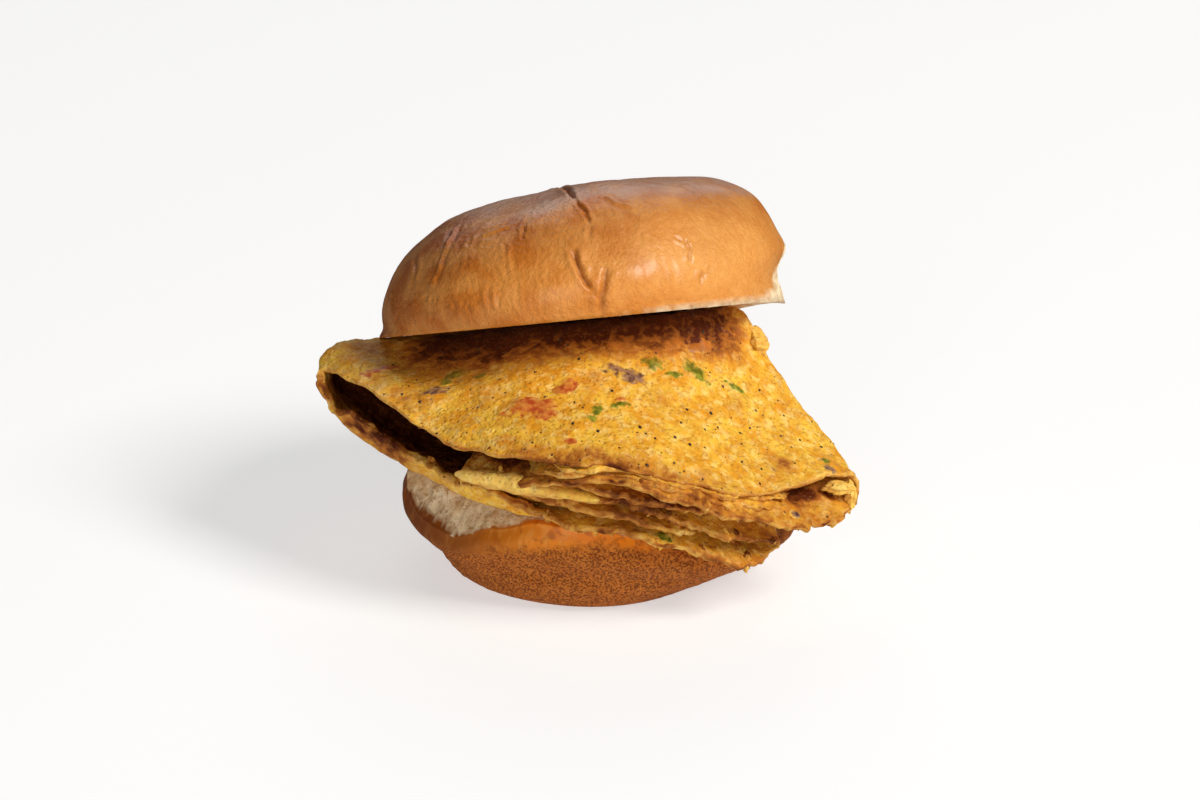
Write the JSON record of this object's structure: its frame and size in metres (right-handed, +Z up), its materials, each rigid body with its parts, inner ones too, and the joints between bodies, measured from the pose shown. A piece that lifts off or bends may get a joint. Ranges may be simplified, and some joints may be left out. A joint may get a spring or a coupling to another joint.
{
  "type": "breakfast sandwich",
  "caption": "Round soft bun cut in half and propped open by a vegetable omelette folded into quarters, whose fan of layers sticks out at the front and both sides.",
  "frame": {"origin": "centre of the heel's flat underside, on the table", "axes": "+Z up from the table, -Y towards the viewer, where the bun gapes open, +X to the viewer's right"},
  "size_m": [0.1393, 0.1214, 0.1045],
  "materials": {
    "golden_crust": "egg-washed golden brown crust with a soft gloss, pale crumb inside",
    "bottom_crust": "matt porous brown bottom crust, pale crumb at the cut",
    "fried_egg": "fried egg, mottled yellow and browned, flecked with tomato, chilli, onion and pepper"
  },
  "bodies": {
    "root": {"bun_crown": "golden_crust", "bun_heel": "bottom_crust", "omelette": "fried_egg"}
  },
  "joints": []
}
